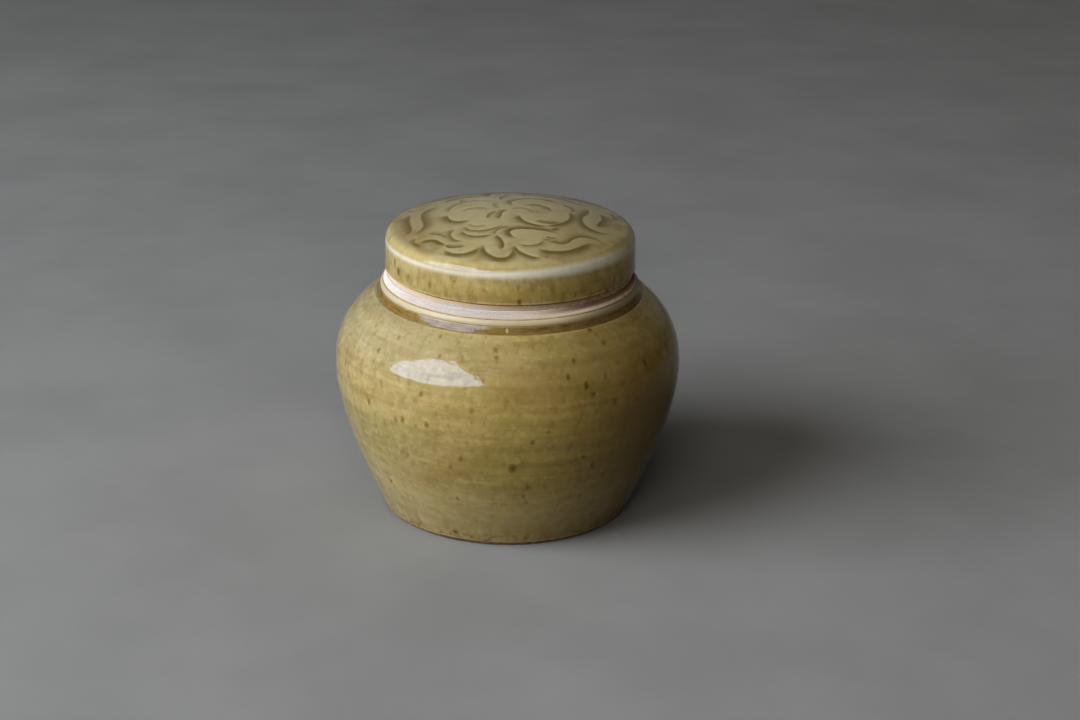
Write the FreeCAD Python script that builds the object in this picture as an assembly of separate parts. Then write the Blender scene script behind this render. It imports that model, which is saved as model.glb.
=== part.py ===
"""Celadon tea jar: a thrown stoneware jar and its cap lid, each with fused coats of glaze.

Millimetres, +Z up. The origin is the centre of the foot, on the surface that the jar stands on.
Every piece is a solid of revolution. Its outline is drawn in the XZ plane, as radius and height,
and turned about Z.
"""
import FreeCAD
import Part
import math
import os

V = FreeCAD.Vector

# Coats of glaze
glaze = 0.4  # thickness of every coat

# Jar: outside of the glaze, from the foot up to the ridge of the shoulder
foot_bare_height = 1.0  # bare clay rim below the glaze
foot_radius = 37.15  # where the glaze ends above that rim
belly_radius = 50.0
belly_height = 43.0
shoulder_rise = 20.75  # from the belly to the ridge
foot_flare_degrees = 24.0  # how far the wall leans out as it leaves the foot
shoulder_degrees = 36.8  # slope of the shoulder where it meets the ridge
foot_hold_share = 0.48  # how long each end of a curve keeps its direction, of that curve's rise
belly_below_share = 0.24
belly_above_share = 0.48
shoulder_hold_share = 0.425

# Jar: collar between the ridge and the seat
collar_radius = 36.6  # at the upper edge of the glaze
collar_rise = 4.1  # from the ridge to the upper edge of the glaze
ridge_step = 2.4  # the ridge stands this far outside the collar
crease_step = 1.45  # and the crease behind the ridge this far
crease_lift = 0.15  # the crease lies this far above the ridge
flank_rise = 1.95  # from the crease up the steep flank to the foot of the roll
flank_lean = 1.05  # the flank narrows by this much on its way up
bead_bulge = 0.45  # the collar's roll stands this far outside its upper edge
seat_band_rise = 1.85  # bare clay band between the glaze and the seat
seat_band_lean = 0.6  # the band narrows by this much on its way up
seat_edge_round = 0.25

# Jar: walls, floor and foot ring
jar_wall = 4.1  # clay under the outer coat
jar_floor = 5.0  # clay over the recess under the foot
foot_recess = 1.6
foot_ring_width = 6.0
foot_recess_lean = 0.9  # the recess narrows by this much towards its roof
foot_edge_round = 0.9
floor_corner = 6.2  # height of the curve between the floor and the wall
floor_corner_hold_share = 0.6  # how long the ends of that curve keep their direction
throat_drop = 1.5  # the neck's bore is straight down to this far below the seat
throat_leave_share = 0.55  # how long the curve from the bore to the wall keeps its direction below
throat_arrive_share = 0.35  # and above, both of its radial run

# Neck
neck_wall = 3.2
neck_rim_round = 1.2
neck_headroom = 0.9  # between the neck's rim and the curve of the lid's ceiling
neck_rim_bare = 1.7  # bare clay below the rim, inside

# Lid
lid_radius = 35.9  # at the lower edge of the glaze
lid_taper = 0.25  # the skirt narrows by this much up to the rounded edge
lid_rise = 18.2  # from the seat to the top of the crown
lid_edge_round = 3.9
lid_dome_radius = 114.6
lid_wall = 3.6  # clay of the skirt
lid_crown_wall = 3.9  # clay of the crown
lid_ceiling_round = 3.0
lid_bare_rise = 1.5  # bare bevel between the seat and the glaze
lid_bevel_lean = 0.35
lid_foot_round = 0.2
lid_lead_in = 0.5  # chamfer of the lid's bore at the seat
lid_play = 1.0  # radial, between the neck and the lid's bore
lid_shift_share = 0.46  # the lid rests off centre towards +X, by this share of its play

# Outward direction of the coat at the points of the collar, in degrees above the horizontal
crease_facing = 54.0
roll_foot_facing = 25.0

# Heights that follow from the sizes
ridge_height = belly_height + shoulder_rise
collar_height = ridge_height + collar_rise
seat_height = collar_height + seat_band_rise
throat_height = seat_height - throat_drop
floor_height = foot_recess + jar_floor
lid_glaze_height = seat_height + lid_bare_rise
lid_top = seat_height + lid_rise

# Radii that follow from the sizes
lid_bore_radius = lid_radius - glaze - lid_wall
neck_radius = lid_bore_radius - lid_play
neck_bore_radius = neck_radius - neck_wall


def at(radius, height):
    return V(radius, 0, height)


def line(start, end):
    return Part.LineSegment(start, end).toShape()


def arc(start, middle, end):
    return Part.Arc(start, middle, end).toShape()


def bezier(*poles):
    curve = Part.BezierCurve()
    curve.setPoles(list(poles))
    return curve


def behind(curve, depth):
    """The curve at a depth behind another that runs upwards on the outside."""
    poles = curve.getPoles()
    inward = []
    for start, end in zip(poles, poles[1:]):
        way = (end - start).normalize()
        inward.append(at(-way.z, way.x))
    before = [inward[0]] + inward
    after = inward + [inward[-1]]
    moved = []
    for pole, below, above in zip(poles, before, after):
        moved.append(pole + (below + above) * (depth / (1 + below.dot(above))))
    return bezier(*moved)


def trimmed(curve, height):
    """The stretch above a height of a curve that rises outwards, and its way at that height."""
    level = Part.LineSegment(at(0, height), at(belly_radius, height))
    crossing = curve.intersect(level)[0]
    start = curve.parameter(V(crossing.X, crossing.Y, crossing.Z))
    way = curve.tangent(start)[0]
    curve.segment(start, curve.LastParameter)
    return curve, way


def under_coat(point, facing):
    """The clay point behind a point of a coat that faces so many degrees above the horizontal."""
    turn = math.radians(facing)
    return at(point.x - glaze * math.cos(turn), point.z - glaze * math.sin(turn))


def direction(degrees):
    """Unit direction in the outline's plane, in degrees from +X towards +Z."""
    turn = math.radians(degrees)
    return at(math.cos(turn), math.sin(turn))


def crown(side, corner, dome, top):
    """Rounded edge and domed top: where the edge starts, its arc and the dome's arc to the axis."""
    dome_centre = at(0, top - dome)
    reach = dome - corner
    rise = math.sqrt(reach**2 - (side - corner) ** 2)
    corner_centre = dome_centre + at(side - corner, rise)
    to_dome = math.degrees(math.atan2(rise, side - corner))
    corner_start = corner_centre + out * corner
    corner_middle = corner_centre + direction(to_dome / 2) * corner
    corner_end = corner_centre + direction(to_dome) * corner
    dome_middle = dome_centre + direction((to_dome + 90) / 2) * dome
    edge = arc(corner_start, corner_middle, corner_end)
    return corner_start, edge, arc(corner_end, dome_middle, at(0, top))


def turned(edges):
    """Solid of revolution of a closed outline."""
    outline = Part.Wire(Part.__sortEdges__(edges))
    solid = Part.Face(outline).revolve(V(0, 0, 0), V(0, 0, 1), 360)
    if solid.Volume < 0:
        solid.reverse()
    return solid


# Outline of the jar's coat: foot to belly, belly to ridge
wall_rise = belly_height - foot_bare_height
foot_edge = at(foot_radius, foot_bare_height)
belly = at(belly_radius, belly_height)
ridge = at(collar_radius + ridge_step, ridge_height)
foot_way = direction(90 - foot_flare_degrees)
ridge_way = direction(180 - shoulder_degrees)
out = direction(0)
up = direction(90)
wall_curve = bezier(
    foot_edge,
    foot_edge + foot_way * (foot_hold_share * wall_rise),
    belly - up * (belly_below_share * wall_rise),
    belly,
)
shoulder_curve = bezier(
    belly,
    belly + up * (belly_above_share * shoulder_rise),
    ridge - ridge_way * (shoulder_hold_share * shoulder_rise),
    ridge,
)

# Outline of the coat on the collar: crease, flank, then roll
crease = at(collar_radius + crease_step, ridge_height + crease_lift)
roll_foot = at(crease.x - flank_lean, crease.z + flank_rise)
roll_end = at(collar_radius, collar_height - glaze)
roll_top = at(collar_radius + bead_bulge, (roll_foot.z + roll_end.z) / 2)

# Clay under that coat
wall_skin = behind(wall_curve, glaze)
shoulder_skin = behind(shoulder_curve, glaze)
clay_foot = wall_skin.StartPoint
clay_ridge = shoulder_skin.EndPoint
clay_crease = under_coat(crease, crease_facing)
clay_roll_foot = under_coat(roll_foot, roll_foot_facing)
clay_roll_end = at(collar_radius - glaze, collar_height)
jar_skin = [
    wall_skin.toShape(),
    shoulder_skin.toShape(),
    line(clay_ridge, clay_crease),
    line(clay_crease, clay_roll_foot),
    arc(clay_roll_foot, under_coat(roll_top, 0), clay_roll_end),
]


def hollow(coat):
    """Outline of the jar's inside from the axis to the neck, with so much coat on the clay."""
    depth = glaze + jar_wall + coat
    floor = floor_height + coat
    wall, corner_way = trimmed(behind(wall_curve, depth), floor + floor_corner)
    corner_end = wall.StartPoint
    corner_reach = floor_corner / corner_way.z
    corner = corner_end - corner_way * corner_reach
    floor_edge = corner - out * corner_reach
    corner_curve = bezier(
        floor_edge,
        floor_edge + out * (floor_corner_hold_share * corner_reach),
        corner_end - corner_way * (floor_corner_hold_share * corner_reach),
        corner_end,
    )
    shoulder = behind(shoulder_curve, depth)
    shoulder_end = shoulder.EndPoint
    throat = at(neck_bore_radius - coat, throat_height)
    throat_run = shoulder_end.x - throat.x
    throat_curve = bezier(
        shoulder_end,
        shoulder_end + ridge_way * (throat_leave_share * throat_run),
        throat - up * (throat_arrive_share * throat_run),
        throat,
    )
    edges = [line(at(0, floor), floor_edge)]
    for curve in (corner_curve, wall, shoulder, throat_curve):
        edges.append(curve.toShape())
    return edges, throat


clay_hollow, clay_throat = hollow(0)
coat_hollow, coat_throat = hollow(glaze)

# Lid: crown of the coat, of the clay under it, and both ceilings
lid_skirt_radius = lid_radius - lid_taper
ceiling_dome = lid_dome_radius - glaze - lid_crown_wall
ceiling_top = lid_top - glaze - lid_crown_wall
coat_skirt_top, coat_edge, coat_dome = crown(lid_skirt_radius, lid_edge_round, lid_dome_radius, lid_top)
clay_skirt_top, clay_edge, clay_dome = crown(
    lid_skirt_radius - glaze, lid_edge_round - glaze, lid_dome_radius - glaze, lid_top - glaze
)
clay_wall_top, clay_corner, clay_ceiling = crown(lid_bore_radius, lid_ceiling_round, ceiling_dome, ceiling_top)
coat_wall_top, coat_corner, coat_ceiling = crown(
    lid_bore_radius - glaze, lid_ceiling_round - glaze, ceiling_dome - glaze, ceiling_top - glaze
)

# Neck: its rim stays below the curve of the lid's ceiling
neck_top = clay_wall_top.z - neck_headroom
neck_coat_end = neck_top - neck_rim_bare


def jar_body():
    ring_radius = foot_radius - glaze - foot_edge_round / 2
    ring_outer = at(ring_radius, 0)
    ring_inner = at(ring_radius - foot_ring_width, 0)
    recess_edge = at(ring_inner.x - foot_recess_lean, foot_recess)
    foot_curve = bezier(
        ring_outer,
        ring_outer + out * (foot_edge_round / 2),
        clay_foot - foot_way * (foot_edge_round / 2),
        clay_foot,
    )
    band_top = at(clay_roll_end.x - seat_band_lean, seat_height - seat_edge_round)
    seat_outer = at(band_top.x - seat_edge_round, seat_height)
    seat_centre = at(seat_outer.x, band_top.z)
    seat_inner = at(neck_radius, seat_height)
    rim_side = at(neck_radius, neck_top - neck_rim_round)
    rim_outer = at(neck_radius - neck_rim_round, neck_top)
    rim_inner = at(neck_bore_radius + neck_rim_round, neck_top)
    rim_bore = at(neck_bore_radius, neck_top - neck_rim_round)
    outer_centre = at(rim_outer.x, rim_side.z)
    inner_centre = at(rim_inner.x, rim_bore.z)
    neck_end = at(neck_bore_radius, neck_coat_end)
    edges = [
        line(at(0, foot_recess), recess_edge),
        line(recess_edge, ring_inner),
        line(ring_inner, ring_outer),
        foot_curve.toShape(),
    ]
    edges += jar_skin
    edges += [
        line(clay_roll_end, band_top),
        arc(band_top, seat_centre + direction(45) * seat_edge_round, seat_outer),
        line(seat_outer, seat_inner),
        line(seat_inner, rim_side),
        arc(rim_side, outer_centre + direction(45) * neck_rim_round, rim_outer),
        line(rim_outer, rim_inner),
        arc(rim_inner, inner_centre + direction(135) * neck_rim_round, rim_bore),
        line(rim_bore, neck_end),
        line(neck_end, clay_throat),
    ]
    edges += clay_hollow
    edges.append(line(at(0, floor_height), at(0, foot_recess)))
    return turned(edges)


def jar_outer_glaze():
    edges = [
        line(clay_foot, foot_edge),
        wall_curve.toShape(),
        shoulder_curve.toShape(),
        line(ridge, crease),
        line(crease, roll_foot),
        arc(roll_foot, roll_top, roll_end),
        line(roll_end, clay_roll_end),
    ]
    return turned(edges + jar_skin)


def jar_inner_glaze():
    clay_end = at(neck_bore_radius, neck_coat_end)
    coat_end = at(neck_bore_radius - glaze, neck_coat_end - glaze)
    edges = clay_hollow + coat_hollow
    edges += [
        line(clay_throat, clay_end),
        line(clay_end, coat_end),
        line(coat_end, coat_throat),
        line(at(0, floor_height), at(0, floor_height + glaze)),
    ]
    return turned(edges)


def lid_coat_foot():
    """Where the coat ends on the skirt, on the glaze and on the clay."""
    coat_foot = at(lid_radius, lid_glaze_height + glaze)
    skirt_foot = at(lid_radius - glaze, lid_glaze_height)
    return coat_foot, skirt_foot


def lid_body():
    skirt_foot = lid_coat_foot()[1]
    bevel_foot = at(skirt_foot.x - lid_bevel_lean, seat_height + lid_foot_round)
    rest_outer = at(bevel_foot.x - lid_foot_round, seat_height)
    round_centre = at(rest_outer.x, bevel_foot.z)
    rest_inner = at(lid_bore_radius + lid_lead_in, seat_height)
    lead_top = at(lid_bore_radius, seat_height + lid_lead_in)
    edges = [
        line(lead_top, rest_inner),
        line(rest_inner, rest_outer),
        arc(rest_outer, round_centre + direction(-45) * lid_foot_round, bevel_foot),
        line(bevel_foot, skirt_foot),
        line(skirt_foot, clay_skirt_top),
        clay_edge,
        clay_dome,
        line(at(0, lid_top - glaze), at(0, ceiling_top)),
        clay_ceiling,
        clay_corner,
        line(clay_wall_top, lead_top),
    ]
    return turned(edges)


def lid_outer_glaze():
    coat_foot, skirt_foot = lid_coat_foot()
    edges = [
        line(skirt_foot, coat_foot),
        line(coat_foot, coat_skirt_top),
        coat_edge,
        coat_dome,
        line(at(0, lid_top), at(0, lid_top - glaze)),
        clay_dome,
        clay_edge,
        line(clay_skirt_top, skirt_foot),
    ]
    return turned(edges)


def lid_inner_glaze():
    edges = [
        clay_corner,
        clay_ceiling,
        line(at(0, ceiling_top), at(0, ceiling_top - glaze)),
        coat_ceiling,
        coat_corner,
        line(coat_wall_top, clay_wall_top),
    ]
    return turned(edges)


lid_place = V(lid_play * lid_shift_share, 0, 0)
nodes = {
    "jar_body": jar_body(),
    "jar_outer_glaze": jar_outer_glaze(),
    "jar_inner_glaze": jar_inner_glaze(),
    "lid_body": lid_body().translated(lid_place),
    "lid_outer_glaze": lid_outer_glaze().translated(lid_place),
    "lid_inner_glaze": lid_inner_glaze().translated(lid_place),
}

os.makedirs("parts", exist_ok=True)
for name, shape in nodes.items():
    shape.exportStep("parts/" + name + ".step")
    box = shape.BoundBox
    print(
        "%-16s volume %8.1f  radius %5.2f  height %5.2f to %5.2f  valid %s"
        % (name, shape.Volume, box.XLength / 2, box.ZMin, box.ZMax, shape.isValid())
    )
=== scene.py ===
"""Looks of the celadon tea jar: bare clay, coats of glaze and the scroll carved in the lid.

The frame and every mesh are in metres. Sizes here are in millimetres, and MM scales them.
"""

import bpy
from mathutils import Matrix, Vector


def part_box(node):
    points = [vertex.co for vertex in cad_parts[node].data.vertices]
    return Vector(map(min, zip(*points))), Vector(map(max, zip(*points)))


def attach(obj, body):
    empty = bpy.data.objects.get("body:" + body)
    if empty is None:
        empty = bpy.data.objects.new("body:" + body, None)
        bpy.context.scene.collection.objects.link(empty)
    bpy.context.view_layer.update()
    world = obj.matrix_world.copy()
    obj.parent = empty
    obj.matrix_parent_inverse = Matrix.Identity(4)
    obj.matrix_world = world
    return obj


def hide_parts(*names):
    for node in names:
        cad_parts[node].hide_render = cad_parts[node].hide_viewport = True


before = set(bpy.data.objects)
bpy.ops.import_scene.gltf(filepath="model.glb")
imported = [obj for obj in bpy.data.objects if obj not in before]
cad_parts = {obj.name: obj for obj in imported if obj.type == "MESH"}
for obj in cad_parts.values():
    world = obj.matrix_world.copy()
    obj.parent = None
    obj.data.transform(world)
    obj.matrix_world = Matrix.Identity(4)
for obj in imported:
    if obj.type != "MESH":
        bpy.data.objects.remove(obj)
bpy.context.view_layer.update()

import math

import bpy
import numpy as np
from mathutils import Matrix, Vector

MM = 0.001


def extent(node):
    """Lowest and highest corner of a CAD node at rest, in millimetres."""
    low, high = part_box(node)
    return np.array(low) / MM, np.array(high) / MM


# Sizes read from the frame
jar_coat_low, jar_coat_high = extent("jar_outer_glaze")
_, jar_clay_high = extent("jar_body")
inside_low, inside_high = extent("jar_inner_glaze")
lid_coat_low, lid_coat_high = extent("lid_outer_glaze")
lid_clay_low, lid_clay_high = extent("lid_body")
_, ceiling_high = extent("lid_inner_glaze")

belly_radius = jar_coat_high[0]
foot_bare_height = jar_coat_low[2]
collar_height = jar_coat_high[2]
neck_top = jar_clay_high[2]
floor_height = inside_low[2]
neck_coat_end = inside_high[2]
lid_radius = (lid_coat_high[0] - lid_coat_low[0]) / 2
lid_shift = (lid_coat_high[0] + lid_coat_low[0]) / 2
lid_top = lid_coat_high[2]
lid_glaze_height = lid_coat_low[2]
seat_height = lid_clay_low[2]
ceiling_top = ceiling_high[2]
glaze = lid_top - lid_clay_high[2]

# Sizes of the jar that the boxes don't show
foot_radius = 37.15
belly_height = 43.0
foot_flare_degrees = 24.0
shoulder_degrees = 36.8
foot_hold_share = 0.48
belly_below_share = 0.24
belly_above_share = 0.48
shoulder_hold_share = 0.425
collar_radius = 36.6
collar_rise = 4.1
ridge_step = 2.4
crease_step = 1.45
crease_lift = 0.15
flank_rise = 1.95
flank_lean = 1.05
bead_bulge = 0.45
seat_band_lean = 0.6
seat_edge_round = 0.25
jar_wall = 4.1
foot_recess = 1.6
foot_ring_width = 6.0
foot_recess_lean = 0.9
foot_edge_round = 0.9
floor_corner = 6.2
floor_corner_hold_share = 0.6
throat_drop = 1.5
throat_leave_share = 0.55
throat_arrive_share = 0.35
neck_wall = 3.2
neck_rim_round = 1.2
crease_facing = 54.0
roll_foot_facing = 25.0
collar_shift_share = 0.9  # the collar stands off the belly's axis as the lid does, by this share
collar_shift_start = 52.0  # height where that begins
pool_round = 0.22  # the glaze rounds the crease by this much
flank_low_facing = 36.0  # the flank is hollow: how far up it faces below and above
flank_high_facing = 21.0
flank_hold_share = 0.33
lip_hold = 0.3  # how long the coat keeps its direction between the ridge and the crease

# Sizes of the lid that the boxes don't show
lid_taper = 0.25
lid_edge_round = 3.9
lid_dome_radius = 114.6
lid_wall = 3.6
lid_crown_wall = 3.9
lid_ceiling_round = 3.0
lid_bevel_lean = 0.35
lid_foot_round = 0.2
lid_lead_in = 0.5
lid_play = 1.0

# Heights and radii that follow
ridge_height = collar_height - collar_rise
shoulder_rise = ridge_height - belly_height
throat_height = seat_height - throat_drop
lid_bore_radius = lid_radius - glaze - lid_wall
neck_radius = lid_bore_radius - lid_play
neck_bore_radius = neck_radius - neck_wall

# Fineness of the meshes
jar_sides = 360
clay_sides = 256
crown_cells = 232  # squares across the lid's crown
shown_step = 0.55  # between the points of an outline
edge_step = 0.12
hidden_step = 2.0
sharp_degrees = 42.0  # where faces meet more steeply, the edge stays sharp


def at(radius, height):
    return np.array([radius, height], dtype=float)


def heading(degrees):
    """Unit way in the outline's plane, in degrees from outwards towards up."""
    turn = math.radians(degrees)
    return at(math.cos(turn), math.sin(turn))


OUT = heading(0)
UP = heading(90)


def line(start, end, step=shown_step):
    count = max(1, math.ceil(np.linalg.norm(end - start) / step))
    share = np.linspace(0, 1, count + 1)[:, None]
    return start + (end - start) * share


def bezier(poles, step=shown_step):
    reach = sum(np.linalg.norm(b - a) for a, b in zip(poles, poles[1:]))
    share = np.linspace(0, 1, max(2, math.ceil(reach / step)) + 1)[:, None]
    rest = 1 - share
    first, second, third, last = poles
    return rest**3 * first + 3 * rest**2 * share * second + 3 * rest * share**2 * third + share**3 * last


def arc(start, middle, end, step=edge_step):
    """Circular arc through three points."""
    a, b = middle - start, end - start
    cross = 2 * (a[0] * b[1] - a[1] * b[0])
    to_centre = at(b[1] * (a @ a) - a[1] * (b @ b), a[0] * (b @ b) - b[0] * (a @ a)) / cross
    centre = start + to_centre
    radius = np.linalg.norm(to_centre)
    angles = [math.atan2(*(point - centre)[::-1]) for point in (start, middle, end)]
    first, through, last = np.unwrap(angles)
    if not min(first, last) <= through <= max(first, last):
        last += math.tau if last < first else -math.tau
    count = max(2, math.ceil(radius * abs(last - first) / step))
    turns = np.linspace(first, last, count + 1)
    return centre + radius * np.stack([np.cos(turns), np.sin(turns)], axis=1)


def smoothstep(value):
    share = np.clip(value, 0, 1)
    return share * share * (3 - 2 * share)


def joined(*stretches):
    """One outline from stretches that meet end to start."""
    points = [stretches[0]]
    for stretch in stretches[1:]:
        points.append(stretch[1:])
    return np.concatenate(points)


def behind(poles, depth):
    """Poles of the curve at a depth behind one that runs upwards on the outside."""
    ways = [(b - a) / np.linalg.norm(b - a) for a, b in zip(poles, poles[1:])]
    inward = [at(-way[1], way[0]) for way in ways]
    below = [inward[0]] + inward
    above = inward + [inward[-1]]
    return [pole + (b + a) * depth / (1 + b @ a) for pole, b, a in zip(poles, below, above)]


def under_coat(point, facing):
    """Clay point behind a point of a coat that faces so many degrees above the horizontal."""
    return point - heading(facing) * glaze


def crown(side, corner, dome, top):
    """Rounded edge and domed top: start, middle and end of the edge, and the dome's centre."""
    dome_centre = at(0, top - dome)
    reach = dome - corner
    rise = math.sqrt(reach**2 - (side - corner) ** 2)
    corner_centre = dome_centre + at(side - corner, rise)
    to_dome = math.degrees(math.atan2(rise, side - corner))
    points = [corner_centre + heading(turn) * corner for turn in (0, to_dome / 2, to_dome)]
    return points + [dome_centre]


def crown_line(shape, corner_step=edge_step, dome_step=shown_step):
    """Outline of a crown, from its side up to the axis."""
    *corner, dome_centre = shape
    spoke = corner[2] - dome_centre
    start = math.atan2(spoke[1], spoke[0])
    turns = np.linspace(start, math.pi / 2, max(2, math.ceil(spoke[0] / dome_step)) + 1)
    dome = dome_centre + np.linalg.norm(spoke) * np.stack([np.cos(turns), np.sin(turns)], axis=1)
    dome[-1, 0] = 0
    return joined(arc(*corner, corner_step), dome)


# Outline of the jar: the coat's two curves and the points of the collar
foot_edge = at(foot_radius, foot_bare_height)
belly = at(belly_radius, belly_height)
ridge = at(collar_radius + ridge_step, ridge_height)
wall_rise = belly_height - foot_bare_height
foot_way = heading(90 - foot_flare_degrees)
ridge_way = heading(180 - shoulder_degrees)
wall_poles = [
    foot_edge,
    foot_edge + foot_way * foot_hold_share * wall_rise,
    belly - UP * belly_below_share * wall_rise,
    belly,
]
shoulder_poles = [
    belly,
    belly + UP * belly_above_share * shoulder_rise,
    ridge - ridge_way * shoulder_hold_share * shoulder_rise,
    ridge,
]
crease = at(collar_radius + crease_step, ridge_height + crease_lift)
roll_foot = at(crease[0] - flank_lean, crease[1] + flank_rise)
roll_end = at(collar_radius, collar_height - glaze)
roll_top = at(collar_radius + bead_bulge, (roll_foot[1] + roll_end[1]) / 2)

# The clay under that coat
wall_skin = behind(wall_poles, glaze)
shoulder_skin = behind(shoulder_poles, glaze)
clay_foot = wall_skin[0]
clay_ridge = shoulder_skin[-1]
clay_crease = under_coat(crease, crease_facing)
clay_roll_foot = under_coat(roll_foot, roll_foot_facing)
clay_roll_end = at(collar_radius - glaze, collar_height)


def jar_skin(step):
    """The clay's outside, from the foot to the upper edge of the coat."""
    return joined(
        bezier(wall_skin, step),
        bezier(shoulder_skin, step),
        line(clay_ridge, clay_crease, step),
        line(clay_crease, clay_roll_foot, step),
        arc(clay_roll_foot, under_coat(roll_top, 0), clay_roll_end, step),
    )


def hollow(coat, step=shown_step):
    """The jar's inside from the axis to the neck, with so much coat on the clay."""
    depth = glaze + jar_wall + coat
    floor = floor_height + coat
    wall = bezier(behind(wall_poles, depth), step)
    wall = wall[wall[:, 1] > floor + floor_corner]
    corner_way = (wall[1] - wall[0]) / np.linalg.norm(wall[1] - wall[0])
    reach = (wall[0, 1] - floor) / corner_way[1]
    floor_edge = wall[0] - (corner_way + OUT) * reach
    hold = floor_corner_hold_share * reach
    shoulder = bezier(behind(shoulder_poles, depth), step)
    throat = at(neck_bore_radius - coat, throat_height)
    run = shoulder[-1, 0] - throat[0]
    leave = shoulder[-1] + ridge_way * throat_leave_share * run
    arrive = throat - UP * throat_arrive_share * run
    return joined(
        line(at(0, floor), floor_edge, step),
        bezier([floor_edge, floor_edge + OUT * hold, wall[0] - corner_way * hold, wall[0]], step),
        wall,
        shoulder,
        bezier([shoulder[-1], leave, arrive, throat], step),
    )


# Making the meshes
def ring_faces(rows):
    """Faces between rows of vertex numbers, where a row of one is a point on the axis."""
    faces = []
    for low, high in zip(rows, rows[1:]):
        if len(low) == 1:
            faces += [(low[0], b, a) for a, b in zip(high, np.roll(high, -1))]
        elif len(high) == 1:
            faces += [(a, b, high[0]) for a, b in zip(low, np.roll(low, -1))]
        else:
            faces += zip(low, np.roll(low, -1), np.roll(high, -1), high)
    return faces


def volume(points, faces):
    """Signed volume of a closed mesh, to tell which way its faces look."""
    total = 0.0
    for size in (3, 4):
        chosen = np.array([face for face in faces if len(face) == size])
        if not len(chosen):
            continue
        for second in range(1, size - 1):
            a, b, c = (points[chosen[:, k]] for k in (0, second, second + 1))
            total += np.einsum("ij,ij->i", a, np.cross(b, c)).sum() / 6
    return total


def finished(name, points, faces, pool):
    """Closed smooth mesh object from points in millimetres, with its pooled glaze as an attribute."""
    if volume(points, faces) < 0:
        faces = [tuple(reversed(face)) for face in faces]
    mesh = bpy.data.meshes.new(name)
    mesh.from_pydata((points * MM).tolist(), [], [tuple(int(i) for i in face) for face in faces])
    pools = mesh.attributes.new("pool", "FLOAT", "POINT")
    pools.data.foreach_set("value", np.asarray(pool, dtype=np.float32))
    mesh.shade_smooth()
    mesh.set_sharp_from_angle(angle=math.radians(sharp_degrees))
    mesh.update()
    piece = bpy.data.objects.new(name, mesh)
    bpy.context.scene.collection.objects.link(piece)
    return piece


def over_foot(heights):
    """How far the jar's axis has moved towards +X at each height."""
    rise = smoothstep((heights - collar_shift_start) / (ridge_height - collar_shift_start))
    return lid_shift * collar_shift_share * rise


def over_seat(heights):
    """How far the lid's axis stands towards +X."""
    return np.full_like(heights, lid_shift)


def turned(name, outline, sides, shift, worn=None, pool=None):
    """Closed mesh of revolution. shift moves its axis, and worn may move its points."""
    turns = np.arange(sides) * math.tau / sides
    radii, heights = (np.repeat(outline[:, k][:, None], sides, axis=1) for k in (0, 1))
    if worn:
        radii, heights = worn(radii, heights, turns[None, :])
    places = np.stack([radii * np.cos(turns) + shift(heights), radii * np.sin(turns), heights], axis=2)
    pools = np.zeros(len(outline)) if pool is None else pool
    points, rows, values = [], [], []
    count = 0
    for ring, radius, value in zip(places, outline[:, 0], pools):
        size = 1 if radius < edge_step / 100 else sides
        points.append(ring[:size])
        rows.append(np.arange(count, count + size))
        values += [value] * size
        count += size
    if len(rows[0]) > 1:
        rows.append(rows[0])
    return finished(name, np.concatenate(points), ring_faces(rows), values)


# Irregular hand work: throwing rings and an uneven edge of the glaze
deepest_ring = 0.062
ring_start = 2.0  # height where the rings begin
ring_fade_low = 5.0
ring_fade_high = 4.0
coat_edge_lift = 0.3  # the most that a coat's lower edge rises
jar_lift_reach = 4.0  # height over which that fades out
lid_lift_reach = 3.0


def thrown(radii, heights, turns):
    """Shallow throwing rings, cut inwards only, which climb a little round the jar."""
    climb = heights + turns / math.tau
    rings = (
        0.010 * np.sin(climb * math.tau / 3.1 + 0.7 * np.sin(turns * 2 + 0.4))
        + 0.014 * np.sin(heights * math.tau / 7.3 + 1.1 + 0.5 * np.sin(turns + 2.0))
        + 0.022 * np.sin(turns * 3 + heights * 0.06)
        + 0.016 * np.sin(turns * 5 + heights * 0.11 + 1.7)
    )
    rise = np.clip((heights - ring_start) / ring_fade_low, 0, 1)
    fall = np.clip((ridge_height - heights) / ring_fade_high, 0, 1)
    return radii - (deepest_ring - rings) * rise * fall, heights


def wavering(turns, seed):
    """Slow uneven line round the pot, from 0 to 1."""
    draw = np.random.default_rng(seed)
    total = 0
    for waves in (2, 3, 5, 8, 13, 21, 34):
        total = total + np.sin(turns * waves + draw.uniform(0, math.tau)) / waves**0.6
    return 0.5 + 0.5 * np.clip(total / 2.2, -1, 1)


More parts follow.
